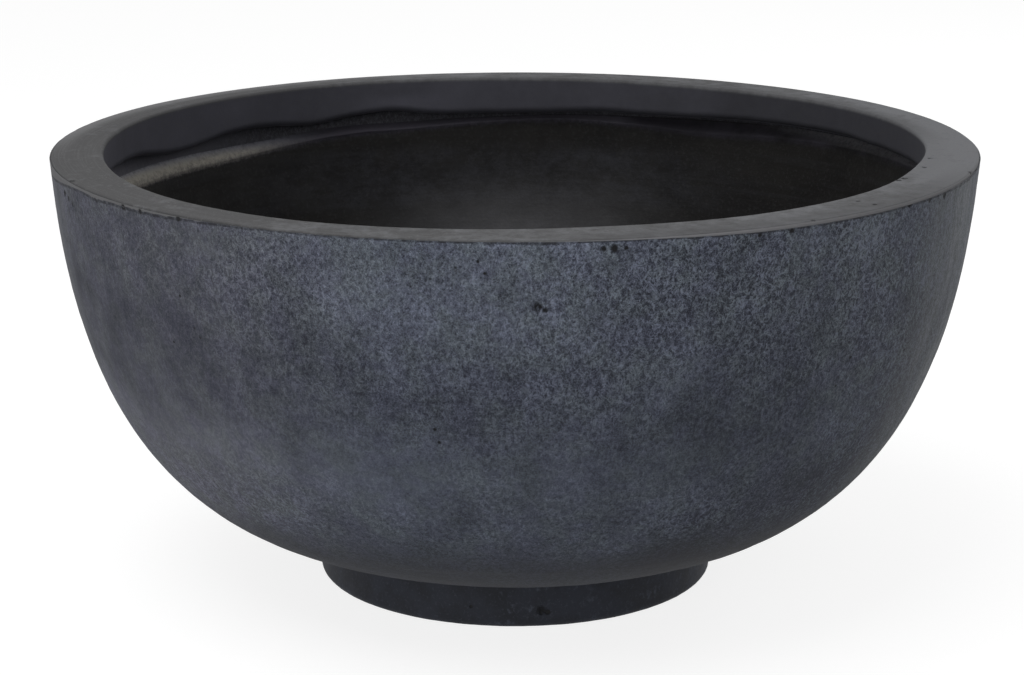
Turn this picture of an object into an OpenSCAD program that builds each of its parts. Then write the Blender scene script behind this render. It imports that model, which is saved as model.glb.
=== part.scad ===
// Round bowl planter on a short foot ring, in millimetres.
// The origin is at the middle of the foot's underside, and +Z points up.
// The bowl is a cast stone-mix shell with a glass-fibre lining laid up inside it.
// A cast rim ring caps the wall and hangs inside it, and a cast foot ring stands under it.
// A rubber plug closes the drain hole and lifts out upwards.

/* [Bowl shell] */
// Outside diameter across the rim
rim_d = 600; // [500:10:760]
// Height of the bowl from its flat underside to the rim's top face
bowl_h = 254; // [220:2:300]
// Lean of the wall at the rim, in degrees from upright
rim_lean = 3; // [0:0.5:8]
// How strongly the wall keeps its lean at the rim on its way down
rim_reach = 116; // [80:2:140]
// Lean of the wall where it reaches the flat underside, in degrees from upright
base_lean = 78; // [70:1:84]
// How strongly the wall keeps its lean at the underside on its way up
base_reach = 116; // [80:2:140]
// Thickness of the cast wall
shell_t = 10; // [7:0.5:14]
// Thickness of the cast floor
floor_t = 12; // [10:0.5:18]

/* [Fibre lining] */
// Thickness of the glass-fibre lining on the wall and floor
lining_t = 5; // [3:0.5:8]
// Drop from the rim ring's underside to the lining's top edge
lining_drop = 12; // [4:0.5:20]
// Height over which the lining's top edge slopes in from the wall
lining_slope_h = 9; // [3:0.5:16]

/* [Rim ring] */
// Width of the rim's flat top, from the outside edge to the opening
rim_w = 32; // [26:1:44]
// Height of the band that the ring shows inside the bowl
band_h = 22; // [14:1:36]
// Thickness of the ring's cap over the wall's top edge
cap_t = 3; // [3:0.5:8]
// Radius that eases the rim's edges
rim_ease = 2; // [0.5:0.5:2.5]

/* [Foot ring] */
// Height of the foot under the bowl
foot_h = 34; // [20:1:60]
// Outside diameter of the foot where it meets the bowl
foot_d = 264; // [220:2:300]
// Width of the flat underside that shows outside the foot
foot_step = 13; // [4:1:24]
// Width of the foot's wall at its top
foot_w = 28; // [20:1:40]
// Draft of the foot's outside, in degrees
foot_draft = 1.5; // [0:0.5:6]
// Radius that eases the foot's edges at the ground
foot_ease = 5; // [1:0.5:7]
// Depth of the boss under the bowl that centres the foot
boss_h = 5; // [3:0.5:10]

/* [Drain and plug] */
// Diameter of the drain hole through the floor
drain_d = 30; // [20:1:40]
// Diameter of the plug's flange inside the bowl
flange_d = 46; // [40:1:70]
// Thickness of the plug's flange
flange_t = 4; // [3:0.5:8]
// How far the plug's stem reaches into the boss, below the bowl's underside
stem_reach = 3; // [1:0.5:4.5]
// Chamfer round the end of the plug's stem
stem_chamfer = 1.5; // [0.5:0.5:4]
// Diameter of the neck under the plug's pull knob
neck_d = 12; // [8:1:16]
// Height of that neck
neck_h = 6; // [3:0.5:12]
// Diameter of the pull knob
knob_d = 18; // [17:1:30]
// Thickness of the pull knob
knob_t = 6; // [4:0.5:10]

/* [Fits] */
// Bond line between a cast wall and what is glued inside it
bond_gap = 0.3; // [0.1:0.05:0.5]
// Radial clearance between the foot's bore and the boss
boss_gap = 0.5; // [0.2:0.1:1]
// Radial clearance of the plug's stem in the drain hole
plug_gap = 0.05; // [0.02:0.01:0.1]

/* [Hidden] */
$fn = 96;

wall_steps = 36;   // straight steps down the wall's curve
round_steps = 6;   // straight steps round an eased edge
halvings = 30;     // times that a search along the wall is halved
overcut = 1;       // how far a cutting shape runs past the face it cuts

// Heights, from the ground up.
underside_z = foot_h;
boss_z = underside_z - boss_h;
stem_z = underside_z - stem_reach;
floor_z = underside_z + floor_t;
lining_floor_z = floor_z + lining_t;
flange_z = lining_floor_z + flange_t;
knob_z = flange_z + neck_h;
rim_z = underside_z + bowl_h;
wall_top_z = rim_z - cap_t;
band_z = rim_z - band_h;
lining_top_z = band_z - lining_drop;
slope_foot_z = lining_top_z - lining_slope_h;

// Radii, and depths into the wall from its outside.
rim_r = rim_d / 2;
opening_r = rim_r - rim_w;
foot_r = foot_d / 2;
foot_bore_r = foot_r - foot_w;
ground_r = foot_r - foot_h * tan(foot_draft);
boss_r = foot_bore_r - boss_gap;
drain_r = drain_d / 2;
stem_r = drain_r - plug_gap;
glued_depth = shell_t + bond_gap;
lining_depth = glued_depth + lining_t;

// The wall's outside is one smooth curve from the rim's edge down to the underside's edge.
// Two guide points give its direction at the ends, and how strongly it keeps to them.
rim_edge = [rim_r, rim_z];
rim_guide = rim_edge - rim_reach * [sin(rim_lean), cos(rim_lean)];
base_edge = [foot_r + foot_step, underside_z];
base_guide = base_edge + base_reach * [sin(base_lean), cos(base_lean)];

// A point of the curve, from t = 0 at the rim to t = 1 at the underside.
function curve_point(t) =
    pow(1 - t, 3) * rim_edge + 3 * pow(1 - t, 2) * t * rim_guide
    + 3 * (1 - t) * pow(t, 2) * base_guide + pow(t, 3) * base_edge;

// The way that the curve runs there, down the wall.
function curve_way(t) =
    pow(1 - t, 2) * (rim_guide - rim_edge) + 2 * (1 - t) * t * (base_guide - rim_guide)
    + pow(t, 2) * (base_edge - base_guide);

// The point squarely behind it, at a depth into the wall.
function wall_point(t, depth) =
    let (way = curve_way(t))
    curve_point(t) + depth * [way.y, -way.x] / norm(way);

// Where on the curve the wall comes to height z, at a depth.
function t_at(z, depth, low = 0, high = 1, left = halvings) =
    let (middle = (low + high) / 2)
    left == 0 ? middle
    : wall_point(middle, depth).y > z ? t_at(z, depth, middle, high, left - 1)
    : t_at(z, depth, low, middle, left - 1);

function wall_r(z, depth = 0) = wall_point(t_at(z, depth), depth).x;

// Points down the wall at a depth, from one height to another.
function wall_points(top_z, low_z, depth = 0) =
    let (top_t = t_at(top_z, depth), low_t = t_at(low_z, depth))
    [
        [wall_r(top_z, depth), top_z],
        for (i = [1 : wall_steps - 1]) wall_point(top_t + (low_t - top_t) * i / wall_steps, depth),
        [wall_r(low_z, depth), low_z],
    ];

function flipped(points) = [for (i = [len(points) - 1 : -1 : 0]) points[i]];

// Points round an eased edge of radius r about a centre, from one angle to another.
function eased(centre, r, from, to) = [
    for (i = [0 : round_steps])
        let (a = from + (to - from) * i / round_steps)
        centre + r * [cos(a), sin(a)]
];

module drain_hole() {
    translate([0, 0, boss_z - overcut])
        cylinder(r = drain_r, h = lining_floor_z - boss_z + 2 * overcut);
}

// Cast shell: the outside wall, the flat floor with the boss under it, and the drain hole.
module bowl_shell() {
    color([0.28, 0.3, 0.34])
        difference() {
            union() {
                rotate_extrude()
                    polygon(concat(
                        [[0, underside_z], [0, floor_z]],
                        flipped(wall_points(wall_top_z, floor_z, shell_t)),
                        wall_points(wall_top_z, underside_z)
                    ));
                translate([0, 0, boss_z])
                    cylinder(r = boss_r, h = boss_h + overcut);
            }
            drain_hole();
        }
}

// Glass-fibre lining: follows the shell's inside, and its top edge slopes in from the wall.
module fibre_lining() {
    color([0.13, 0.12, 0.11])
        difference() {
            rotate_extrude()
                polygon(concat(
                    [[0, floor_z], [0, lining_floor_z]],
                    flipped(wall_points(slope_foot_z, lining_floor_z, lining_depth)),
                    wall_points(lining_top_z, floor_z, glued_depth)
                ));
            drain_hole();
        }
}

// Cast rim ring: a thin cap over the wall's top edge, and a band that hangs inside the wall.
module rim_ring() {
    color([0.36, 0.36, 0.36])
        rotate_extrude()
            polygon(concat(
                eased([rim_r - rim_ease, rim_z - rim_ease], rim_ease, 90, 0),
                [
                    [wall_r(wall_top_z), wall_top_z],
                    [wall_r(wall_top_z, glued_depth), wall_top_z],
                    [wall_r(band_z, glued_depth), band_z],
                ],
                eased([opening_r + rim_ease, band_z + rim_ease], rim_ease, 270, 180),
                eased([opening_r + rim_ease, rim_z - rim_ease], rim_ease, 180, 90)
            ));
}

// Cast foot ring: glued under the bowl round the boss, with a drafted outside.
module foot_ring() {
    color([0.17, 0.18, 0.2])
        rotate_extrude()
            polygon(concat(
                [[foot_bore_r, underside_z], [foot_r, underside_z]],
                eased([ground_r - foot_ease, foot_ease], foot_ease, 0, -90),
                eased([foot_bore_r + foot_ease, foot_ease], foot_ease, -90, -180)
            ));
}

// Rubber plug: a stem in the drain hole, a flange on the floor and a knob to pull it by.
module drain_plug() {
    color([0.07, 0.07, 0.07])
        rotate_extrude()
            polygon(concat(
                [[0, stem_z], [stem_r - stem_chamfer, stem_z], [stem_r, stem_z + stem_chamfer]],
                [[stem_r, lining_floor_z], [flange_d / 2, lining_floor_z]],
                eased([flange_d / 2 - flange_t / 2, flange_z - flange_t / 2], flange_t / 2, 0, 90),
                [[neck_d / 2, flange_z], [neck_d / 2, knob_z]],
                eased([knob_d / 2 - knob_t / 2, knob_z + knob_t / 2], knob_t / 2, -90, 90),
                [[0, knob_z + knob_t]]
            ));
}

bowl_shell();
fibre_lining();
rim_ring();
foot_ring();
drain_plug();
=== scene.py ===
import math

import bpy
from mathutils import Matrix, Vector


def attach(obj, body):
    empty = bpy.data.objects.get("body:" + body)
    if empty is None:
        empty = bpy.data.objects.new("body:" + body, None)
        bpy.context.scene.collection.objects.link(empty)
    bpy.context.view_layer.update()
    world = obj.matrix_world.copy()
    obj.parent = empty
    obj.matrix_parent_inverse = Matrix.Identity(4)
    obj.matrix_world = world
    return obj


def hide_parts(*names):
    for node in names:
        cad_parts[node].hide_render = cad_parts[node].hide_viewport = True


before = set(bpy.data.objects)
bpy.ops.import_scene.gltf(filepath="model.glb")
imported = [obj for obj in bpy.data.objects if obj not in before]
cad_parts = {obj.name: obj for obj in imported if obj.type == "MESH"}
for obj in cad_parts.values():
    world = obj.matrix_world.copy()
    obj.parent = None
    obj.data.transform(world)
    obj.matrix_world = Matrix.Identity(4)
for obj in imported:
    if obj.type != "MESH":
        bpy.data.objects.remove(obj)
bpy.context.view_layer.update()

# Bowl shell: the wall, the flat floor and the boss under it, cast in one mould from stone
# dust, chopped fibre and resin. Its outside keeps the fine stipple that the mould left,
# under a pale film of dust, and it is smooth and darker just above the foot.
MM = 0.001
FULL_TURN = 2 * math.pi


class Wire:
    """One output in a node tree. Arithmetic on it adds that tree's Math nodes."""

    def __init__(self, tree, socket):
        self.tree, self.socket = tree, socket

    def maths(self, operation, *others):
        return self.tree.node("ShaderNodeMath", {"operation": operation},
                              dict(enumerate((self, *others))))

    def __add__(self, other):
        return self.maths("ADD", other)

    def __sub__(self, other):
        return self.maths("SUBTRACT", other)

    def __mul__(self, other):
        return self.maths("MULTIPLY", other)

    def __truediv__(self, other):
        return self.maths("DIVIDE", other)

    def __mod__(self, other):
        return self.maths("MODULO", other)

    def __pow__(self, other):
        return self.maths("POWER", other)

    def __rsub__(self, other):
        return self.tree.node("ShaderNodeMath", {"operation": "SUBTRACT"}, {0: other, 1: self})

    def __rtruediv__(self, other):
        return self.tree.node("ShaderNodeMath", {"operation": "DIVIDE"}, {0: other, 1: self})

    def __abs__(self):
        return self.maths("ABSOLUTE")

    __radd__ = __add__
    __rmul__ = __mul__

    def at_least(self, other):
        return self.maths("MAXIMUM", other)

    def fade(self, start, end):
        """0 up to start and 1 from end on, eased in between. Start may be above end."""
        value, from_low, from_high, to_low, to_high = range(5)
        first, last = (0.0, 1.0) if start < end else (1.0, 0.0)
        return self.tree.node("ShaderNodeMapRange", {"interpolation_type": "SMOOTHSTEP"}, {
            value: self, from_low: min(start, end), from_high: max(start, end),
            to_low: first, to_high: last})

    def blend(self, first, second):
        """A colour that goes from the first to the second as this goes from 0 to 1."""
        factor, colour_a, colour_b, colour_out = 0, 6, 7, 2
        return self.tree.node("ShaderNodeMix", {"data_type": "RGBA"},
                              {factor: self, colour_a: first, colour_b: second}, colour_out)

    def part(self, axis):
        return self.tree.node("ShaderNodeSeparateXYZ", {}, {0: self}, axis)

    def times(self, other):
        """This place or colour, with each of its parts multiplied by the other's."""
        return self.tree.node("ShaderNodeVectorMath", {"operation": "MULTIPLY"},
                              {0: self, 1: other})

    def away_from(self, other):
        """How far this place is from another."""
        return self.tree.node("ShaderNodeVectorMath", {"operation": "DISTANCE"},
                              {0: self, 1: other}, "Value")


class Tree:
    """A node tree, for a material or a shape, that is built by calls."""

    def __init__(self, data):
        self.data = data

    def node(self, kind, settings=None, sockets=None, out=0):
        """Adds a node: its settings first, then its sockets' values or links."""
        made = self.data.nodes.new(kind)
        for name, value in (settings or {}).items():
            setattr(made, name, value)
        for name, value in (sockets or {}).items():
            if isinstance(value, Wire):
                self.data.links.new(value.socket, made.inputs[name])
            else:
                made.inputs[name].default_value = value
        return Wire(self, made.outputs[out]) if made.outputs else None

    def noise(self, place, scale, detail=2.0, roughness=0.5, distortion=0.0):
        return self.node("ShaderNodeTexNoise", {}, {
            "Vector": place, "Scale": scale, "Detail": detail,
            "Roughness": roughness, "Distortion": distortion})

    def vector(self, x, y, z):
        return self.node("ShaderNodeCombineXYZ", {}, {0: x, 1: y, 2: z})

    def tint(self):
        """The tint that a casting's section gave to each of its rows."""
        return self.node("ShaderNodeAttribute", {"attribute_name": "tint"}, out="Fac")


def paint(red, green, blue):
    """A colour as it would be written on a screen, 0 to 255, for a socket."""
    shares = (red / 255, green / 255, blue / 255)
    return (*(c / 12.92 if c <= 0.04045 else ((c + 0.055) / 1.055) ** 2.4 for c in shares), 1.0)


def finish_of(name, build, specular):
    """A material whose build function gives colour, roughness and height at each place."""
    material = bpy.data.materials.new(name)
    material.use_nodes = True
    material.node_tree.nodes.clear()
    tree = Tree(material.node_tree)
    looks = build(tree, tree.node("ShaderNodeTexCoord", out="Object"))
    normal = tree.node("ShaderNodeBump", {}, {
        "Height": looks["height"], "Distance": MM, "Strength": 1.0})
    shader = tree.node("ShaderNodeBsdfPrincipled", {}, {
        "Base Color": looks["colour"], "Roughness": looks["roughness"],
        "Specular IOR Level": specular, "Normal": normal})
    tree.node("ShaderNodeOutputMaterial", {}, {"Surface": shader})
    return material


def pitted(tree, place, pits):
    """1 inside any of the pits, which are place, half width and depth, with a ragged edge."""
    ragged = (tree.noise(place, scale=500.0, detail=3.0, roughness=0.6) - 0.5) * 0.9
    inside = None
    for spot, half_width, _ in pits:
        one = (place.away_from(spot) / half_width + ragged).fade(1.1, 0.5)
        inside = inside.at_least(one) if inside else one
    return inside


def pinholed(tree, place, scale, rim, core, patches):
    """1 inside small round holes, from their rim to their core, where the patches have them."""
    cells = tree.node("ShaderNodeTexVoronoi", {}, {"Vector": place, "Scale": scale})
    return cells.fade(rim, core) * patches


class Section:
    """The closed outline of a turned casting: radius and height of each row, and what may vary
    there. Relief is how uneven it is, tint is for its finish, and the others say which of the
    wandering edges move it."""
    EDGES = ("edge", "brow", "opening")
    KINDS = ("relief", "tint", *EDGES)

    def __init__(self):
        self.rows = []

    def add(self, radius, height, **weights):
        self.rows.append((radius, height, weights))

    def line(self, start, end, steps, **weights):
        """Rows from start towards end, without the end itself."""
        for i in range(steps):
            t = i / steps
            self.add(start[0] + (end[0] - start[0]) * t, start[1] + (end[1] - start[1]) * t,
                     **weights)

    def round(self, centre, radius, start, end, steps, **weights):
        """Rows round an eased edge, from one angle in degrees to another."""
        for i in range(steps + 1):
            a = math.radians(start + (end - start) * i / steps)
            self.add(centre[0] + radius * math.cos(a), centre[1] + radius * math.sin(a), **weights)

    def made(self, name):
        points = [(radius, 0.0, height) for radius, height, _ in self.rows]
        return loose_points(name, points, {
            kind: [weights.get(kind, 0.0) for _, _, weights in self.rows] for kind in self.KINDS})


def loose_points(name, points, numbers):
    """An object of loose points, each with its numbers, for the casting tree to read."""
    mesh = bpy.data.meshes.new(name)
    mesh.from_pydata(points, [], [])
    for kind, values in numbers.items():
        layer = mesh.attributes.new(kind, "FLOAT", "POINT")
        layer.data.foreach_set("value", [float(value) for value in values])
    made = bpy.data.objects.new(name, mesh)
    bpy.context.scene.collection.objects.link(made)
    return made


def round_the_ring(strays, steps):
    """Smooth values all the way round, from pairs of degrees and millimetres."""
    count = len(strays)
    values = []
    for step in range(steps):
        angle = 360 * step / steps
        k = max((i for i in range(count) if strays[i][0] <= angle), default=-1)
        (a, p), (b, q) = strays[k], strays[(k + 1) % count]
        before, after = strays[k - 1][1], strays[(k + 2) % count][1]
        t = (angle - a) % 360 / ((b - a) % 360 or 360)
        cubic = 3 * (p - q) + after - before
        square = 2 * before - 5 * p + 4 * q - after + cubic * t
        bend = (q - before + square * t) * t
        values.append((p + bend / 2) * MM)
    return values


CASTING_INPUTS = {
    "Steps round": ("NodeSocketInt", 600),
    "Wave height": ("NodeSocketFloat", 0.0),
    "Wave length": ("NodeSocketFloat", 120 * MM),
    "Lump height": ("NodeSocketFloat", 0.0),
    "Lump length": ("NodeSocketFloat", 16 * MM),
    "Edge wander": ("NodeSocketFloat", 0.0),
    "Edge length": ("NodeSocketFloat", 60 * MM),
    "Strays": ("NodeSocketObject", None),
    "Dents": ("NodeSocketObject", None),
    "Finish": ("NodeSocketMaterial", None),
}
touching = 0.001 * MM      # grid points that are this close become one
inward = 0.75              # taken off a noise of 0 to 1, so that it pushes faces inwards


def casting_tree():
    """Turns a section's rows round the axis, then adds the unevenness of hand casting."""
    group = bpy.data.node_groups.new("hand casting", "GeometryNodeTree")
    group.interface.new_socket("Rows", in_out="INPUT", socket_type="NodeSocketGeometry")
    for name, (kind, value) in CASTING_INPUTS.items():
        socket = group.interface.new_socket(name, in_out="INPUT", socket_type=kind)
        if value is not None:
            socket.default_value = value
    group.interface.new_socket("Casting", in_out="OUTPUT", socket_type="NodeSocketGeometry")
    tree = Tree(group)
    given = group.nodes.new("NodeGroupInput")
    take = {name: Wire(tree, given.outputs[name]) for name in ("Rows", *CASTING_INPUTS)}
    rows, steps = take["Rows"], take["Steps round"]

    def sampled(geometry, value, index, kind="FLOAT"):
        return tree.node("GeometryNodeSampleIndex", {"data_type": kind, "domain": "POINT"},
                         {"Geometry": geometry, "Value": value, "Index": index})

    def named(name):
        return tree.node("GeometryNodeInputNamedAttribute", {"data_type": "FLOAT"}, {"Name": name})

    def points_of(given_object):
        return tree.node("GeometryNodeObjectInfo", {}, {"Object": given_object}, "Geometry")

    # A grid with a column for each step round and a row for each row of the section. One more
    # of each lies on the first, so that merging closes the casting.
    count = tree.node("GeometryNodeAttributeDomainSize", {"component": "MESH"},
                      {"Geometry": rows}, "Point Count")
    grid = tree.node("GeometryNodeMeshGrid", {},
                     {"Vertices X": steps + 1, "Vertices Y": count + 1}, "Mesh")
    index = tree.node("GeometryNodeInputIndex")
    row = index % (count + 1) % count
    column = (index / (count + 1)).maths("FLOOR")
    turn = column * FULL_TURN / steps
    across, forward = turn.maths("COSINE"), turn.maths("SINE")

    def weight(name):
        return sampled(rows, named(name), row)

    def stray(name):
        return weight(name) * sampled(points_of(take["Strays"]), named(name), column % steps)

    # The places of its points, with the edges that wander up and down or in and out.
    outline = sampled(rows, tree.node("GeometryNodeInputPosition"), row, "FLOAT_VECTOR")
    radius, height = outline.part(0), outline.part(2)
    level_place = tree.vector(across * radius, forward * radius, 0.0)
    wander = tree.noise(level_place, 1 / take["Edge length"], detail=3.0, roughness=0.55) * 2 - 1
    lifted = weight("edge") * wander * take["Edge wander"] + stray("edge") + stray("brow")
    wider = stray("opening")
    place = tree.vector(across * (radius + wider), forward * (radius + wider), height + lifted)
    turned = grid
    for name in ("relief", "tint"):
        turned = tree.node("GeometryNodeStoreNamedAttribute",
                           {"data_type": "FLOAT", "domain": "POINT"},
                           {"Geometry": turned, "Name": name, "Value": weight(name)})
    turned = tree.node("GeometryNodeSetPosition", {}, {"Geometry": turned, "Position": place})
    turned = tree.node("GeometryNodeMergeByDistance", {},
                       {"Geometry": turned, "Distance": touching})
    turned = tree.node("GeometryNodeFlipFaces", {}, {"Mesh": turned})

    # Waves and lumps where the section has relief, and the nearest dent if it reaches here.
    here = tree.node("GeometryNodeInputPosition")
    relief = named("relief")
    wave = tree.noise(here, 1 / take["Wave length"]) - inward
    lump = tree.noise(here, 1 / take["Lump length"], detail=3.0, roughness=0.6) - inward
    dents = points_of(take["Dents"])
    nearest = tree.node("GeometryNodeSampleNearest", {"domain": "POINT"},
                        {"Geometry": dents, "Sample Position": here})
    middle = sampled(dents, tree.node("GeometryNodeInputPosition"), nearest, "FLOAT_VECTOR")
    size, deep = (sampled(dents, named(name), nearest) for name in ("size", "deep"))
    ragged = here.away_from(middle) / size + (tree.noise(here, scale=400.0) - 0.5) * 0.7
    dent = ragged.fade(1.0, 0.25)
    out = (wave * take["Wave height"] + lump * take["Lump height"]) * relief * 2 - dent * deep
    push = tree.node("ShaderNodeVectorMath", {"operation": "SCALE"},
                     {0: tree.node("GeometryNodeInputNormal"), "Scale": out})
    uneven = tree.node("GeometryNodeSetPosition", {}, {"Geometry": turned, "Offset": push})
    uneven = tree.node("GeometryNodeSetShadeSmooth", {"domain": "FACE"},
                       {"Geometry": uneven, "Shade Smooth": True})
    real = tree.node("GeometryNodeRealizeInstances", {}, {"Geometry": uneven})
    finished = tree.node("GeometryNodeSetMaterial", {},
                         {"Geometry": real, "Material": take["Finish"]})
    end = group.nodes.new("NodeGroupOutput")
    group.links.new(finished.socket, end.inputs[0])
    return group


hand_casting = casting_tree()


def cast(name, section, dents, finish, values, strays=None):
    """The finished casting as a plain mesh. Dents are place, half width and depth. Strays are
    how far its rows wander from the section at given degrees, for each kind of edge."""
    steps, strays, level = values["Steps round"], strays or {}, ((0, 0),)
    around = {kind: round_the_ring(strays.get(kind, level), steps) for kind in Section.EDGES}
    source = section.made(name + "_rows")
    marks = loose_points(name + "_dents", [place for place, _, _ in dents], {
        "size": [size for _, size, _ in dents], "deep": [deep for _, _, deep in dents]})
    ring = loose_points(name + "_ring", [(0.0, 0.0, step * MM) for step in range(steps)], around)
    modifier = source.modifiers.new("hand casting", "NODES")
    modifier.node_group = hand_casting
    inputs = {item.name: item.identifier for item in hand_casting.interface.items_tree
              if item.in_out == "INPUT"}
    for key, value in {**values, "Strays": ring, "Dents": marks, "Finish": finish}.items():
        modifier[inputs[key]] = value
    source.update_tag()
    graph = bpy.context.evaluated_depsgraph_get()
    mesh = bpy.data.meshes.new_from_object(source.evaluated_get(graph),
                                           preserve_all_data_layers=True, depsgraph=graph)
    mesh.name = name
    piece = bpy.data.objects.new(name, mesh)
    bpy.context.scene.collection.objects.link(piece)
    for spare in (source, marks, ring):
        bpy.data.objects.remove(spare)
    return piece


# The wall's outside is one smooth curve from the rim's edge to the underside's edge. A guide
# at each end gives its lean there, and its reach says how strongly it keeps to that.
underside = 34 * MM
rim_edge, rim_lean, rim_reach = (300 * MM, 288 * MM), math.radians(3), 116 * MM
base_edge, base_lean, base_reach = (145 * MM, underside), math.radians(78), 116 * MM
rim_guide = (rim_edge[0] - rim_reach * math.sin(rim_lean),
             rim_edge[1] - rim_reach * math.cos(rim_lean))
base_guide = (base_edge[0] + base_reach * math.sin(base_lean),
              base_edge[1] + base_reach * math.cos(base_lean))
halvings = 40              # times that a search along the wall is halved


def wall_at(t, depth):
    """Radius and height on the wall, from the rim at 0 to the underside at 1, at a depth."""
    ends = (rim_edge, rim_guide, base_guide, base_edge)
    place = [(1 - t) ** 3 * a + 3 * (1 - t) ** 2 * t * b + 3 * (1 - t) * t * t * c + t ** 3 * d
             for a, b, c, d in zip(*ends)]
    way = [(1 - t) ** 2 * (b - a) + 2 * (1 - t) * t * (c - b) + t * t * (d - c)
           for a, b, c, d in zip(*ends)]
    size = math.hypot(*way)
    return place[0] + depth * way[1] / size, place[1] - depth * way[0] / size


def wall_t(height, depth):
    """How far down the wall's curve it comes to a height, at a depth."""
    low, high = 0.0, 1.0
    for _ in range(halvings):
        middle = (low + high) / 2
        low, high = (middle, high) if wall_at(middle, depth)[1] > height else (low, middle)
    return (low + high) / 2


def wall_r(height, depth):
    """The wall's radius at a height and a depth."""
    return wall_at(wall_t(height, depth), depth)[0]


def wall_rows(top, bottom, depth, steps):
    """Points down the wall at a depth, from one height to another."""
    start, end = wall_t(top, depth), wall_t(bottom, depth)
    return [wall_at(start + (end - start) * i / steps, depth) for i in range(steps + 1)]


shell_thick, floor_top, underside_r = 10 * MM, 46 * MM, 142 * MM
boss_low, boss_r, drain_r = 29 * MM, 103.5 * MM, 15 * MM
wall_top, wall_top_r = 285 * MM, 290 * MM
lip_top, lip_thick, lip_ease = 287.2 * MM, 0.8 * MM, 0.2 * MM
lip_in = rim_edge[0] - lip_thick

shell_rows = Section()
for i, (r, z) in enumerate(wall_rows(lip_top, underside, depth=0.0, steps=116)):
    shell_rows.add(r, z, relief=min(1.0, 0.35 + i / 6), tint=1.0, edge=max(0.0, 1 - i / 3))
shell_rows.line((underside_r, underside), (boss_r, underside), steps=7, relief=0.3, tint=1.0)
shell_rows.line((boss_r, underside), (boss_r, boss_low), steps=2)
shell_rows.line((boss_r, boss_low), (drain_r, boss_low), steps=8)
shell_rows.line((drain_r, boss_low), (drain_r, floor_top), steps=3)
shell_rows.line((drain_r, floor_top), (wall_r(floor_top, shell_thick), floor_top), steps=5)
for r, z in reversed(wall_rows(wall_top, floor_top, shell_thick, steps=12)):
    shell_rows.add(r, z)
shell_rows.line((wall_top_r, wall_top), (lip_in, wall_top), steps=2)
shell_rows.add(lip_in, wall_top + 0.3 * MM)
shell_rows.add(lip_in, lip_top - lip_ease, edge=1.0, tint=1.0)
shell_rows.add(lip_in + lip_ease, lip_top, edge=1.0, tint=1.0)
shell_rows.add(lip_in + 0.5 * MM, lip_top + 0.05 * MM, edge=1.0, tint=1.0)

# Blow holes and knocks in the wall: place, half width and depth.
wall_pits = [
    ((0.0126, -0.2966, 0.2496), 3.6 * MM, 2.2 * MM),
    ((0.0165, -0.2962, 0.2478), 2.2 * MM, 1.0 * MM),
    ((0.0487, -0.2957, 0.2826), 1.9 * MM, 1.0 * MM),
    ((0.0545, -0.2946, 0.2824), 2.8 * MM, 1.6 * MM),
    ((0.0612, -0.2935, 0.2824), 1.6 * MM, 0.8 * MM),
    ((-0.0203, -0.2986, 0.2760), 1.3 * MM, 1.0 * MM),
    ((-0.0329, -0.2972, 0.2723), 1.1 * MM, 0.6 * MM),
    ((-0.0467, -0.2948, 0.2656), 1.2 * MM, 0.6 * MM),
    ((-0.2764, -0.1150, 0.2776), 2.2 * MM, 1.2 * MM),
    ((-0.2727, -0.1233, 0.2760), 2.2 * MM, 1.4 * MM),
    ((-0.2693, -0.1303, 0.2735), 2.0 * MM, 1.2 * MM),
    ((-0.2288, -0.1938, 0.2850), 2.4 * MM, 0.8 * MM),
    ((-0.2171, -0.2068, 0.2853), 1.8 * MM, 0.6 * MM),
    ((-0.1923, -0.2301, 0.2858), 2.0 * MM, 0.6 * MM),
    ((0.1366, -0.2668, 0.2838), 1.6 * MM, 0.6 * MM),
    ((0.1555, -0.2563, 0.2838), 2.0 * MM, 0.8 * MM),
    ((0.2308, -0.1914, 0.2852), 1.8 * MM, 0.8 * MM),
    ((0.2454, -0.1723, 0.2846), 2.2 * MM, 0.8 * MM),
    ((0.2571, -0.1541, 0.2835), 2.4 * MM, 1.0 * MM),
    ((0.1936, -0.2062, 0.1765), 1.6 * MM, 0.8 * MM),
    ((0.2126, -0.1875, 0.1797), 1.5 * MM, 0.8 * MM),
    ((0.1881, -0.2128, 0.1818), 1.1 * MM, 0.5 * MM),
    ((0.1965, -0.2110, 0.1985), 1.2 * MM, 0.5 * MM),
    ((-0.0453, -0.2780, 0.1745), 1.2 * MM, 0.6 * MM),
    ((-0.0430, -0.2760, 0.1660), 1.2 * MM, 0.6 * MM),
]

# Spots where the wall is paler or darker: place, reach, and how much paler the wall is.
tone_spots = [
    ((-0.135, -0.264, 0.246), 62 * MM, -0.085),
    ((-0.109, -0.253, 0.155), 60 * MM, 0.085),
    ((-0.065, -0.258, 0.133), 62 * MM, 0.12),
    ((0.069, -0.289, 0.252), 50 * MM, -0.06),
    ((0.200, -0.200, 0.173), 65 * MM, 0.15),
    ((0.086, -0.275, 0.200), 40 * MM, 0.07),
    ((0.107, -0.207, 0.084), 60 * MM, -0.17),
    ((0.078, -0.196, 0.063), 45 * MM, -0.12),
    ((-0.229, -0.154, 0.156), 45 * MM, -0.06),
    ((0.025, -0.278, 0.165), 40 * MM, 0.045),
    ((-0.179, -0.240, 0.276), 28 * MM, 0.12),
    ((0.165, -0.249, 0.277), 26 * MM, 0.13),
    ((0.205, -0.218, 0.274), 26 * MM, 0.13),
]

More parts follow.
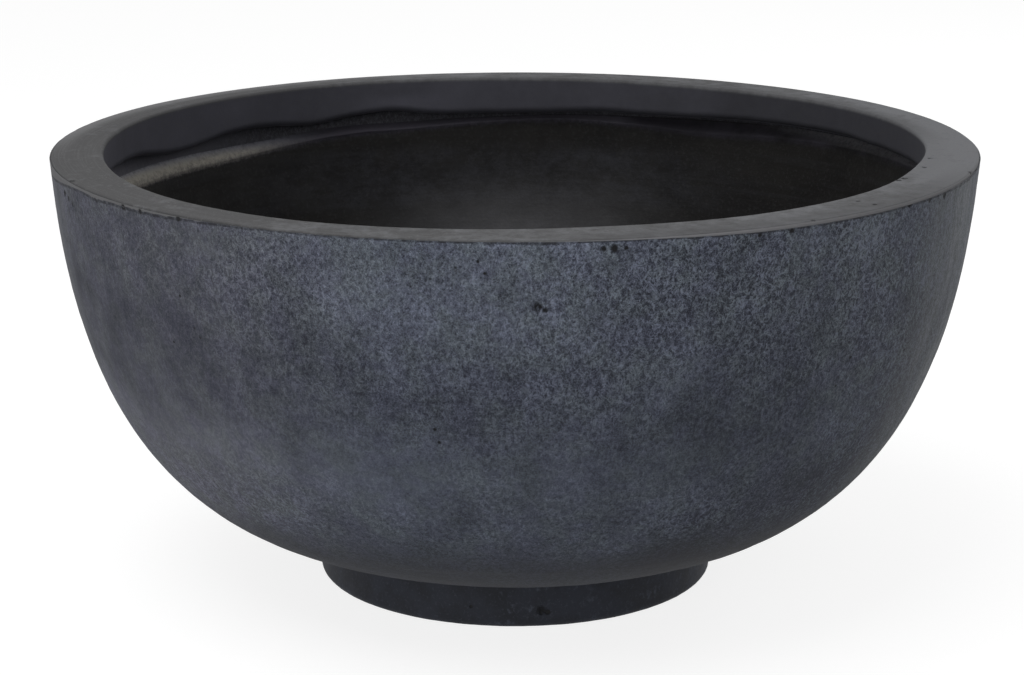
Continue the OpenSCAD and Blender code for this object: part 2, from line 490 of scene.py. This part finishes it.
bare_mix, smooth_mix_and_shade, right_base_shade = paint(41, 43, 54), paint(41, 42, 46), paint(20, 20, 23)
dust_front, dust_left, dust_right = paint(141, 150, 166), paint(147, 150, 161), paint(142, 150, 163)
ochre_tinge, violet_tinge = (0.992, 1.006, 0.95, 1.0), (1.012, 0.992, 1.05, 1.0)
painted_sheen_left, painted_sheen_right, dust_run = paint(97, 99, 103), paint(152, 155, 159), paint(82, 84, 87)
mould_line, lapped_mix, seam_stain = paint(78, 78, 80), paint(97, 97, 99), paint(36, 37, 41)
crumb_hole_shade, pit_shade, pinhole_shade = paint(46, 48, 52), paint(24, 24, 27), paint(26, 26, 29)
inside_right, inside_left_lit, inside_grain = paint(55, 55, 60), paint(100, 100, 108), paint(88, 88, 95)


def stone_finish(tree, place):
    x, y, z = (place.part(axis) for axis in range(3))
    aside = x / (x ** 2 + y ** 2) ** 0.5
    upright = place.times((1, 1, 0.78))

    # The stipple's patches and clouds, its grains, the grit between them, and thin ridges.
    patches = tree.noise(place, scale=8.0)
    clouds = tree.noise(place, scale=30.0, detail=4.0, roughness=0.75)
    grain = tree.noise(upright, scale=420.0, detail=4.0, roughness=0.95)
    grit = tree.noise(place, scale=1150.0, roughness=0.9)
    ridges = tree.noise(upright, scale=230.0, detail=3.0, roughness=0.6, distortion=0.6)
    threads = (1 - abs(ridges - 0.5) * 16).at_least(0.0)

    # Which part of the wall this is, each from 0 to 1.
    high, low = z.fade(110 * MM, 270 * MM), z.fade(150 * MM, 95 * MM)
    upper, belly = z.fade(195 * MM, 250 * MM), z.fade(180 * MM, 135 * MM) * z.fade(62 * MM, 90 * MM)
    left, right = x.fade(-50 * MM, -210 * MM), x.fade(60 * MM, 240 * MM)
    centre = (1 - left - right).at_least(0.0)
    shade_right_of_centre = (1 - abs(x - 125 * MM) * 12).at_least(0.0)

    # How coarse the stipple is, and how pale the film of dust makes the wall. The tone is also
    # painted paler towards the top and at the lower left, and darker low on the right and at the
    # top just right of centre: painted light and shade.
    coarse = high * high * 0.8 + low * 0.55 + 0.67 + right * (0.62 - high * 0.4)
    coarse = coarse + centre * high * 0.3 - left * (high * 0.62 - low * 0.26 + 0.29)
    coarse = coarse * (patches.fade(0.3, 0.7) * 0.25 + 0.8)
    film = (clouds * 0.6 + patches * 0.4).fade(0.4, 0.62)
    tone = (patches - 0.5) * 0.4 + (clouds - 0.5) * 0.68 + high * 0.03 + 0.178
    tone = tone + left * (0.04 - high * 0.13) - right * ((1 - high) * 0.05 + 0.01)
    tone = tone + centre * high * 0.07 + low * (left * 0.035 + 0.035 - right * 0.17)
    tone = tone + upper * (centre * 0.03 + 0.145 - left ** 3 * 0.08 - shade_right_of_centre * 0.14)
    tone = tone + belly * (left * 0.065 + 0.115 - right * 0.1) + right * 0.06
    for spot, reach, paler in tone_spots:
        tone = tone + place.away_from(spot).fade(reach, 0.0) * paler
    stipple = (grain - 0.5) * 1.3 + grain.fade(0.5, 0.75) * 0.2 + (grit - 0.5) * 0.75
    tone = tone + (stipple + (threads - 0.35) * (film * 0.28 + 0.1)) * coarse
    dust = right.blend(left.blend(dust_front, dust_left), dust_right)
    tinge = tree.noise(place, scale=50.0, detail=4.0, roughness=0.75).fade(0.36, 0.64)
    colour = tone.blend(bare_mix, dust).times(tinge.blend(ochre_tinge, violet_tinge))

    # A painted sheen where the wall's two sides turn away, paler at the right, with dust that ran
    # down them.
    sides = aside.fade(0.76, 0.96).at_least((aside * -1).fade(0.91, 0.99))
    runs = tree.noise(place.times((60, 60, 7)), scale=1.0)
    sheen_amount = (runs.fade(0.3, 0.7) * 0.45 + 0.4) * (1 - right * grain.fade(0.52, 0.38) * 0.45)
    painted_sheen = x.fade(0.0, 200 * MM).blend(painted_sheen_left, painted_sheen_right)
    colour = (sides * sheen_amount).blend(colour, painted_sheen)
    streaks = tree.noise(place.times((260, 260, 90)), scale=1.0, detail=3.0, roughness=0.7)
    colour = (sides * right * streaks.fade(0.48, 0.66) * 0.6).blend(colour, dust_run)

    # The smooth part above the foot, with the mould's faint level lines. It is darker, partly as
    # painted shade, and painted darker still at the right as shade.
    smooth = z.fade(100 * MM, 58 * MM)
    lines = tree.noise(place.times((12, 12, 700)), scale=1.0)
    colour = (smooth * 0.75).blend(colour, smooth_mix_and_shade)
    colour = (smooth * lines.fade(0.5, 0.7) * 0.3).blend(colour, mould_line)
    colour = (smooth * x.fade(50 * MM, 110 * MM) * 0.5).blend(colour, right_base_shade)

    # The rim's mix that laps over the wall at the left, and the dark stain along the seam.
    ragged = tree.noise(place.times((1, 1, 0.3)), scale=40.0, detail=4.0, roughness=0.75)
    ragged = ragged.fade(0.48, 0.85) * 2.2 * MM + 0.1 * MM
    sunk = x.fade(60 * MM, 170 * MM) * y.fade(-40 * MM, -110 * MM) * 1.7 * MM
    lap = x.fade(-150 * MM, -225 * MM) * 1.6 * MM + x.fade(-262 * MM, -298 * MM) * 5.5 * MM
    up = z + ragged + sunk + lap
    lap_side = x.fade(-140 * MM, -175 * MM)
    lapped = up.fade(287.2 * MM, 287.8 * MM) * lap_side
    colour = lapped.blend(colour, lapped_mix)
    seam = (up + lap_side * 0.6 * MM).fade(285.9 * MM, 286.8 * MM) - lapped
    crumbs = tree.noise(place, scale=200.0, detail=3.0, roughness=0.8).fade(0.4, 0.6)
    colour = (seam.at_least(0.0) * (crumbs * 0.5 + 0.4)).blend(colour, seam_stain)
    # Crumb holes along the seam at the right, painted dark as the shade in them.
    holes = tree.noise(place, scale=260.0, roughness=0.6).fade(0.6, 0.68)
    holes = holes * z.fade(277 * MM, 286 * MM) * x.fade(110 * MM, 200 * MM)
    colour = (holes * 0.5).blend(colour, crumb_hole_shade)

    # Pits and pinholes.
    hollow = pitted(tree, place, wall_pits)
    colour = hollow.blend(colour, pit_shade)
    hole_patches = tree.noise(place, scale=14.0, detail=1.0).fade(0.52, 0.66)
    pinholes = pinholed(tree, place, 60.0, 0.075, 0.045, hole_patches)
    colour = pinholes.blend(colour, pinhole_shade)

    # The rows without tint are inside, where there is no dust. There the bare mix is painted
    # lighter towards the left: painted light in the shade behind the band.
    inside = x.fade(-170 * MM, -265 * MM).blend(inside_right, inside_left_lit)
    inside = grain.fade(0.4, 0.7).blend(inside, inside_grain)
    outside = tree.tint()
    height = grain * 0.62 + grit * 0.12 + threads * film * 0.15 + clouds * 0.3
    height = height * coarse * (1 - smooth * 0.7) + lines * smooth * 0.05
    height = (height - pinholes * 0.5 - hollow * 0.8) * outside
    return {"colour": outside.blend(inside, colour), "roughness": 0.78, "height": height}


stippled_stone = finish_of("stippled stone", stone_finish, specular=0.22)
cast_wall = cast("cast_wall", shell_rows, wall_pits, stippled_stone, {
    "Steps round": 600, "Wave height": 0.5 * MM, "Wave length": 110 * MM,
    "Lump height": 0.35 * MM, "Lump length": 15 * MM,
    "Edge wander": 0.3 * MM, "Edge length": 9 * MM,
}, {
    "edge": ((0, -0.5), (40, 0), (200, 0), (235, -0.4), (262, 0), (284, -0.4), (298, -1.6),
             (318, -1.9), (335, -1.3)),
})
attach(cast_wall, "planter")
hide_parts("bowl_shell")

# Fibre lining: glass fibre and brown-black resin brushed on inside the shell by hand. Its
# top edge is trimmed to a slope below the rim's band, wide on one side and thin elsewhere.
glued_depth, lining_depth = 10.3 * MM, 15.3 * MM
lining_floor, lining_under = 51 * MM, 46.2 * MM
slope_top, slope_foot, slope_steps = 255 * MM, 250 * MM, 16
floor_r, under_r = wall_r(lining_floor, lining_depth) - 2 * MM, 150 * MM
top_r = wall_r(slope_top, shell_thick) - 0.05 * MM
slope_r = wall_r(slope_foot, lining_depth)

lining_rows = Section()
for i, (r, z) in enumerate(wall_rows(slope_foot, lining_floor, lining_depth, steps=96)):
    lining_rows.add(r, z, relief=min(1.0, i / 3), edge=max(0.0, 1 - i / 14),
                    tint=(0.5, 0.12, 0.0)[min(i, 2)])
lining_rows.line((floor_r, lining_floor), (drain_r, lining_floor), steps=34, relief=1.0)
lining_rows.line((drain_r, lining_floor), (drain_r, lining_under), steps=2)
lining_rows.line((drain_r, lining_under), (under_r, lining_under), steps=4)
for r, z in reversed(wall_rows(slope_top - 14 * MM, lining_under, glued_depth, steps=12)):
    lining_rows.add(r, z)
lining_rows.add(top_r, slope_top - 1 * MM, brow=1.0)
for i in range(slope_steps):
    t = i / slope_steps
    inward = t * t * (3 - 2 * t)
    lining_rows.add(top_r + (slope_r - top_r) * inward, slope_top + (slope_foot - slope_top) * t,
                    edge=t, brow=1 - t, relief=t * 0.6, tint=min(1.0, 0.25 + 2 * t, 1.5 - t))

lining_dents = [((0.2, -0.1, 0.06), 6 * MM, 0.5 * MM)]

resin_black, resin_brown, stroke_grey = paint(18, 17, 17), paint(29, 28, 27), paint(40, 40, 42)
fibre_grey, cloud_grey, dust_and_lit_wall = paint(48, 48, 48), paint(58, 59, 65), paint(90, 90, 93)
slope_grey, slope_back, slope_raised_lit = paint(59, 57, 65), paint(92, 90, 99), paint(104, 104, 108)
filler_high, filler_low = paint(150, 152, 163), paint(168, 164, 154)


def lining_finish(tree, place):
    x, y, z = (place.part(axis) for axis in range(3))

    # Resin with the brush's strokes in it and the fibre showing through.
    strokes = tree.noise(place.times((9, 9, 160)), scale=1.0, detail=3.0, roughness=0.6)
    blotches = tree.noise(place, scale=16.0, detail=4.0, roughness=0.65)
    fibre = tree.noise(place, scale=420.0, detail=3.0, roughness=0.6)
    colour = blotches.fade(0.35, 0.65).blend(resin_black, resin_brown)
    colour = (strokes.fade(0.45, 0.75) * 0.5).blend(colour, stroke_grey)
    colour = (fibre.fade(0.5, 0.7) * 0.4).blend(colour, fibre_grey)

    # A cloudy belt round the back, and a paler film low down and on the back wall: dust, and
    # partly painted light where light falls on the far lower wall.
    belt = z.fade(243 * MM, 226 * MM) * z.fade(188 * MM, 200 * MM)
    belt = belt * (x - 20 * MM).fade(-280 * MM, -100 * MM) * x.fade(200 * MM, 80 * MM)
    cloudy = tree.noise(place.times((1, 1, 1.6)), scale=40.0, detail=6.0, roughness=0.85)
    cloudy = cloudy.fade(0.38, 0.66)
    colour = (belt * (cloudy * 0.38 + 0.08)).blend(colour, cloud_grey)
    low = z.fade(130 * MM, 60 * MM)
    lit_back_wall = z.fade(225 * MM, 165 * MM) * abs(x).fade(150 * MM, 10 * MM) * y.fade(0.0, 150 * MM)
    dust = low.at_least(lit_back_wall) * (blotches * 0.9 + cloudy * 0.25 + 0.36)
    colour = (dust * 0.75).blend(colour, dust_and_lit_wall)

    # The trimmed slope, whose rows have tint. It is filled at the left.
    slope = tree.tint()
    speckle = tree.noise(place, scale=300.0, detail=3.0, roughness=0.8)
    ragged = slope + (speckle - 0.5) * 0.6
    dim = 0.85 - x.fade(60 * MM, 200 * MM) * (blotches.fade(0.62, 0.42) * 0.6 + 0.15)
    colour = (ragged.fade(0.05, 0.6) * dim).blend(colour, slope_grey)
    back = x.fade(-90 * MM, -10 * MM) * x.fade(98 * MM, 74 * MM)
    colour = (back * ragged.fade(0.3, 0.9) * 0.75).blend(colour, slope_back)
    # Where the slope rises at the right its upper part is painted lighter: partly a pale patch,
    # partly painted light in the band's shade.
    lit_raised_top = z.fade(255.3 * MM, 260 * MM) * x.fade(165 * MM, 245 * MM) * slope.fade(0.1, 0.3)
    colour = (lit_raised_top * (speckle.fade(0.3, 0.65) * 0.5 + 0.5)).blend(colour, slope_raised_lit)
    left = x.fade(-135 * MM, -240 * MM)
    filled = ragged.fade(0.15, 1.05) * left * (speckle.fade(0.3, 0.6) * 0.25 + 0.8)
    colour = filled.blend(colour, z.fade(250 * MM, 243 * MM).blend(filler_high, filler_low))
    return {"colour": colour, "roughness": 0.6 + strokes * 0.25,
            "height": fibre * 0.3 + strokes * 0.35}


fibre_and_resin = finish_of("fibre lining", lining_finish, specular=0.14)
laid_lining = cast("laid_lining", lining_rows, lining_dents, fibre_and_resin, {
    "Steps round": 540, "Wave height": 0.9 * MM, "Wave length": 70 * MM,
    "Lump height": 0.5 * MM, "Lump length": 14 * MM,
    "Edge wander": 0.8 * MM, "Edge length": 45 * MM,
}, {
    "brow": ((10, 7.5), (27, 7.5), (36, 7), (50, 6), (61, 4.5), (71, 3.4), (82, 3), (95, 0.8),
             (108, -0.6), (114, -0.6), (121, -1.2), (128, -3.2), (138, -3.6), (150, -3.2),
             (165, -4), (180, -5), (230, -2), (300, 2)),
    "edge": ((10, 6), (27, 6), (36, 5), (50, 2), (61, -0.3), (71, 2.6), (82, 5), (95, 2.5),
             (108, -1.1), (114, -1.4), (121, -3.6), (135, -9.6), (150, -11.6), (180, -13.4),
             (230, -6), (300, 1)),
})
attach(laid_lining, "planter")
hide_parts("fibre_lining")

# Rim ring: a smooth mix trowelled over the wall's top edge, with a band that hangs inside.
# Its top is flat with faint marks of the trowel, and the band's lower edge wanders.
opening_r, outer_r = 268 * MM, rim_edge[0] - lip_thick - 0.1 * MM
outer_ease, inner_ease, band_ease = 1.1 * MM, 2.2 * MM, 5.5 * MM
cap_low, cap_low_r = 285.35 * MM, 289.2 * MM
band_low, band_back_r = 262.8 * MM, 287.2 * MM
band_top, band_foot = rim_edge[1] - inner_ease, band_low + band_ease
top_in, top_out = opening_r + inner_ease, outer_r - outer_ease
under_steps, band_steps, top_steps = 5, 13, 20

rim_rows = Section()
rim_rows.round((outer_r - outer_ease, rim_edge[1] - outer_ease), outer_ease, 90, 0, steps=6,
               relief=0.5)
rim_rows.line((outer_r, 285.6 * MM), (outer_r, cap_low), steps=1)
rim_rows.line((outer_r, cap_low), (cap_low_r, cap_low), steps=3)
rim_rows.line((288.9 * MM, 285 * MM), (287.4 * MM, band_low + 3 * MM), steps=4)
rim_rows.add(band_back_r, band_low, edge=1.0)
for i in range(under_steps):
    rim_rows.add(285 * MM + (opening_r + band_ease - 284 * MM) * i / under_steps, band_low,
                 edge=1.0, opening=i / under_steps, tint=1.0)
for start, end, tint in ((270, 240, 1.0), (231, 180, 0.0)):
    rim_rows.round((opening_r + band_ease, band_low + band_ease), band_ease, start, end, steps=5,
                   edge=1.0, relief=0.6, opening=1.0, tint=tint)
for i in range(1, band_steps):
    t = i / band_steps
    rim_rows.add(opening_r, band_foot + (band_top - band_low - band_ease) * t,
                 edge=(1 - t) ** 2, relief=0.8, opening=1.0)
rim_rows.round((opening_r + inner_ease, band_top), inner_ease, 180, 90, steps=10, relief=0.6,
               opening=1.0)
for i in range(1, top_steps):
    t = i / top_steps
    rim_rows.add(top_in + (top_out - top_in) * t, rim_edge[1], relief=0.7, opening=1 - t)

# Nicks and pits in the rim: place, half width and depth.
rim_pits = [
    ((0.2375, -0.1219, 0.2872), 2.4 * MM, 1.4 * MM),
    ((0.2328, -0.1280, 0.2874), 2.0 * MM, 1.2 * MM),
    ((0.2543, -0.0864, 0.2872), 2.0 * MM, 1.2 * MM),
    ((0.2628, -0.0562, 0.2875), 2.0 * MM, 1.0 * MM),
    ((0.2003, -0.1918, 0.2880), 1.7 * MM, 0.8 * MM),
    ((0.1684, -0.2450, 0.2880), 1.9 * MM, 0.9 * MM),
    ((0.2090, -0.2010, 0.2880), 1.4 * MM, 0.6 * MM),
    ((0.2810, -0.1020, 0.2874), 1.9 * MM, 0.8 * MM),
    ((0.2629, -0.0319, 0.2840), 1.6 * MM, 0.8 * MM),
    ((-0.2688, -0.1275, 0.2878), 2.2 * MM, 0.6 * MM),
]

rim_grey, rim_pale_and_lit, trowel_mark = paint(74, 74, 75), paint(106, 107, 110), paint(114, 114, 117)
light_speck, dark_speck, edge_shade_grey = paint(124, 124, 124), paint(62, 62, 64), paint(70, 70, 72)
lit_outer_grey, rolled_highlight = paint(130, 130, 132), paint(142, 142, 145)
band_dark, band_pale, band_under_lit = paint(51, 51, 57), paint(84, 84, 94), paint(104, 104, 112)
rim_pinhole_shade, rim_pit_shade = paint(40, 40, 42), paint(34, 34, 36)


def rim_finish(tree, place):
    x, y, z = (place.part(axis) for axis in range(3))
    radius = (x ** 2 + y ** 2) ** 0.5

    # The trowelled mix: soft smears, mottling and specks, with the trowel's arcs over them.
    smears = tree.noise(place, scale=26.0, detail=5.0, roughness=0.65)
    mottle = tree.noise(place, scale=110.0, detail=3.0, roughness=0.7)
    arcs = tree.noise(tree.vector(radius * 900.0, x * 14.0, y * 14.0), scale=1.0)
    specks = tree.noise(place, scale=520.0, detail=4.0, roughness=0.85)
    # The mix is painted paler towards the right, with more at the far right: painted light.
    paler = x * 0.9 + x.fade(210 * MM, 285 * MM) * 0.6 - x.fade(-90 * MM, -220 * MM) * 0.2
    paler = paler + 0.34 + (smears - 0.5) * 1.8 + (mottle - 0.5) * 2.0
    colour = paler.blend(rim_grey, rim_pale_and_lit)
    colour = (arcs.fade(0.45, 0.75) * 0.16).blend(colour, trowel_mark)
    colour = (specks.fade(0.55, 0.75) * 0.6).blend(colour, light_speck)
    colour = (specks.fade(0.43, 0.3) * 0.6).blend(colour, dark_speck)

    # Painted shade where its edges roll away, along the inner edge at the back and the right and
    # the outer edge at the near right, and pinholes.
    far_left = x.fade(20 * MM, -170 * MM) * y.fade(-60 * MM, 60 * MM)
    near_right = x.fade(5 * MM, 70 * MM) * y.fade(-60 * MM, -170 * MM)
    edge_shade = y.fade(-20 * MM, 80 * MM) * 0.5 + x.fade(190 * MM, 260 * MM) * 0.12
    edge_shade = radius.fade(287 * MM, 271 * MM) * edge_shade
    edge_shade = edge_shade.at_least(radius.fade(274 * MM, 290 * MM) * near_right * 0.5)
    colour = edge_shade.blend(colour, edge_shade_grey)
    # At the far left the rim is painted paler towards its outer edge: painted light.
    colour = (radius.fade(284 * MM, 297 * MM) * far_left * 0.5).blend(colour, lit_outer_grey)
    # Pinholes, painted dark as the shade in them.
    hole_patches = tree.noise(place, scale=11.0, detail=1.0).fade(0.5, 0.6)
    pinholes = pinholed(tree, place, 34.0, 0.035, 0.022, hole_patches)
    colour = pinholes.blend(colour, rim_pinhole_shade)

    # The band inside: darker, with smears, and painted pale on its underside, whose rows have
    # tint: painted light where it faces down into shade.
    band = z.fade(286.8 * MM, 284.6 * MM) * radius.fade(292 * MM, 284 * MM)
    band_smears = tree.noise(place, scale=20.0, detail=4.0, roughness=0.7)
    lighter = (1 - abs(x + 60 * MM) * 5).at_least(0.0) * 0.5 + (band_smears - 0.5) * 1.2
    smear = (1 - abs(x + 85 * MM) * 22).at_least(0.0) * z.fade(280 * MM, 271 * MM)
    lighter = lighter + smear * y.fade(0.0, 100 * MM) * 0.7
    lighter = lighter - x.fade(120 * MM, 200 * MM) * 0.75 + x.fade(-140 * MM, -240 * MM) * 0.6
    colour = (band * 0.85).blend(colour, (lighter * 0.6 + 0.2).blend(band_dark, band_pale))
    colour = (tree.tint() * 0.8).blend(colour, band_under_lit)

    # The outer edge, with a painted highlight along it at the right, and the nicks.
    rolled = z.fade(287.75 * MM, 287.1 * MM) * radius.fade(295 * MM, 298 * MM)
    colour = (rolled * x.fade(-20 * MM, 90 * MM) * 0.85).blend(colour, rolled_highlight)
    hollow = pitted(tree, place, rim_pits)
    colour = (hollow * 0.85).blend(colour, rim_pit_shade)
    height = arcs * 0.05 + specks * 0.1 + smears * 0.4 - pinholes * 0.4 - hollow * 0.6
    return {"colour": colour, "roughness": 0.85, "height": height}


trowelled_mix = finish_of("trowelled rim", rim_finish, specular=0.12)
trowelled_rim = cast("trowelled_rim", rim_rows, rim_pits, trowelled_mix, {
    "Steps round": 720, "Wave height": 0.25 * MM, "Wave length": 60 * MM,
    "Lump height": 0.12 * MM, "Lump length": 9 * MM,
    "Edge wander": 0.8 * MM, "Edge length": 30 * MM,
}, {
    "opening": ((0, -1), (20, 2.5), (34, 2), (57, -1.5), (72, 1.5), (90, 3.8), (106, 6.6),
                (122, 8.6), (140, 7), (158, 4.5), (172, 1), (186, -2), (200, -2.4), (222, 1.5),
                (243, 3.6), (258, 1), (270, -1.5), (281, -4), (300, -2.6), (322, -3.8),
                (342, -6)),
    "edge": ((10, 2), (25, 1.5), (31, 3.4), (44, 3), (56, 1.6), (66, -0.4), (76, 0), (86, -2),
             (96, -2.6), (103, -2.4), (109, 1.2), (115, -0.6), (122, -4.6), (131, -1.9),
             (138, -2.3), (145, -6.7), (152, -6.7), (161, -1), (180, 0), (220, -2), (260, 1),
             (300, -2), (340, 2)),
})
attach(trowelled_rim, "planter")
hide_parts("rim_ring")

# Foot ring: cast on its own from the same mix and glued under the bowl round the boss. It is
# darker, partly as painted shade under the bowl, with a few blow holes.
foot_r, foot_ground_r, foot_bore_r, foot_ease = 132 * MM, 131.1 * MM, 104 * MM, 5 * MM
foot_top = 33.7 * MM

foot_rows = Section()
foot_rows.line((foot_r, foot_top), (foot_ground_r, foot_ease), steps=14, relief=0.8)
foot_rows.round((foot_ground_r - foot_ease, foot_ease), foot_ease, 0, -90, steps=8, relief=0.6)
foot_rows.line((foot_ground_r - foot_ease - 1.5 * MM, 0), (foot_bore_r + foot_ease, 0), steps=8)
foot_rows.round((foot_bore_r + foot_ease, foot_ease), foot_ease, -90, -180, steps=6)
foot_rows.line((foot_bore_r, 7 * MM), (foot_bore_r, foot_top), steps=8)
foot_rows.line((foot_bore_r, foot_top), (foot_r, foot_top), steps=4)

# Blow holes in the foot: place, half width and depth.
foot_pits = [
    ((0.0166, -0.1300, 0.0120), 3.4 * MM, 2.4 * MM),
    ((0.0205, -0.1295, 0.0108), 2.2 * MM, 1.2 * MM),
    ((-0.0280, -0.1285, 0.0140), 1.4 * MM, 0.8 * MM),
]

foot_shade_dark, foot_shade_grey, foot_pit_shade = paint(36, 38, 44), paint(49, 52, 61), paint(20, 20, 22)
foot_grain, foot_fleck = paint(84, 88, 100), paint(92, 97, 110)


def foot_finish(tree, place):
    clouds = tree.noise(place, scale=45.0, detail=4.0, roughness=0.6)
    grain = tree.noise(place, scale=600.0, roughness=0.6)
    # Its dark colours are partly painted shade under the bowl.
    colour = clouds.fade(0.35, 0.65).blend(foot_shade_dark, foot_shade_grey)
    colour = (grain.fade(0.55, 0.75) * 0.4).blend(colour, foot_grain)
    flecks = tree.noise(place, scale=160.0, detail=4.0, roughness=0.7).fade(0.54, 0.7)
    flecks = flecks * tree.noise(place, scale=24.0, detail=1.0).fade(0.5, 0.62)
    colour = (flecks * 0.6).blend(colour, foot_fleck)
    hollow = pitted(tree, place, foot_pits)
    colour = hollow.blend(colour, foot_pit_shade)
    return {"colour": colour, "roughness": 0.75, "height": grain * 0.25 - hollow * 0.8}


dark_foot = finish_of("dark foot", foot_finish, specular=0.3)
glued_foot = cast("glued_foot", foot_rows, foot_pits, dark_foot, {
    "Steps round": 480, "Wave height": 0.4 * MM, "Wave length": 50 * MM,
    "Lump height": 0.3 * MM, "Lump length": 9 * MM,
})
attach(glued_foot, "planter")
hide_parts("foot_ring")

# Drain plug: a turned rubber bung. Its stem closes the drain hole, its flange lies on the
# lining, and it is pulled out by the knob. It keeps its shape from the frame.
rubber_black, rubber_bloom = paint(38, 38, 39), paint(56, 56, 57)


def rubber_finish(tree, place):
    bloom = tree.noise(place, scale=120.0, detail=3.0, roughness=0.6)
    grain = tree.noise(place, scale=1200.0)
    colour = bloom.fade(0.4, 0.7).blend(rubber_black, rubber_bloom)
    return {"colour": colour, "roughness": 0.5 + bloom * 0.2, "height": grain * 0.04}


drain_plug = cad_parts["drain_plug"]
drain_plug.data.materials.clear()
drain_plug.data.materials.append(finish_of("bung rubber", rubber_finish, specular=0.45))

# Floor: a wide sheet of matt board. A glow that only the eye sees lifts it to a clean white,
# and the bowl's shadow stays on it.
floor_size, floor_glow, board_grey = 14.0, 0.83, (0.3, 0.3, 0.3, 1.0)
white = (1, 1, 1, 1)


def seen_directly(tree):
    """1 for what is seen by eye, in a gloss or through glass, and 0 for the light it gives."""
    camera, glossy, passed = (tree.node("ShaderNodeLightPath", out=f"Is {kind} Ray")
                              for kind in ("Camera", "Glossy", "Transmission"))
    return camera.at_least(glossy).at_least(passed)


bpy.ops.mesh.primitive_plane_add(size=floor_size)
floor = bpy.context.object
floor.name = "floor_board"
board = bpy.data.materials.new("white board")
board.use_nodes = True
board.node_tree.nodes.clear()
tree = Tree(board.node_tree)
matt = tree.node("ShaderNodeBsdfDiffuse", {}, {"Color": board_grey})
lift = tree.node("ShaderNodeEmission", {}, {
    "Color": white, "Strength": seen_directly(tree) * floor_glow})
lit = tree.node("ShaderNodeAddShader", {}, {0: matt, 1: lift})
tree.node("ShaderNodeOutputMaterial", {}, {"Surface": lit})
floor.data.materials.append(board)

# Light: a big soft box overhead, a second at the left and a small one behind at the right,
# in a white room.
room_light, room_glow = 0.4, 0.6
world = bpy.data.worlds.new("white room")
bpy.context.scene.world = world
world.use_nodes = True
world.node_tree.nodes.clear()
tree = Tree(world.node_tree)
room = tree.node("ShaderNodeBackground", {}, {
    "Color": white, "Strength": seen_directly(tree) * room_glow + room_light})
tree.node("ShaderNodeOutputWorld", {}, {"Surface": room})


def soft_box(name, place, aim, size, watts):
    light = bpy.data.lights.new(name, "AREA")
    light.shape, light.size, light.energy = "SQUARE", size, watts
    lamp = bpy.data.objects.new(name, light)
    lamp.location = place
    toward = Vector(aim) - lamp.location
    lamp.rotation_mode = "QUATERNION"
    lamp.rotation_quaternion = toward.to_track_quat("-Z", "Y")
    bpy.context.scene.collection.objects.link(lamp)


soft_box("overhead_box", place=(-0.6, -0.7, 2.3), aim=(0, 0, 0.2), size=1.8, watts=30.0)
soft_box("left_box", place=(-1.7, -2.5, 0.4), aim=(0, 0, 0.15), size=1.2, watts=20.0)
soft_box("back_box", place=(2.0, 1.8, 1.3), aim=(0, 0, 0.28), size=1.0, watts=9.0)

# Camera: in front of the bowl and a little above its rim, with a long lens.
eye_place, look_down, roll, swing = (0.0, -1.740, 0.604), 14.42, 0.07, 0.05
camera = bpy.data.cameras.new("front_camera")
camera.lens, camera.sensor_width = 95.0, 36.0
eye = bpy.data.objects.new("front_camera", camera)
eye.location = eye_place
eye.rotation_euler = (math.radians(90 - look_down), math.radians(roll), math.radians(swing))
bpy.context.scene.collection.objects.link(eye)
bpy.context.scene.camera = eye

bpy.context.scene.view_settings.view_transform = "Standard"
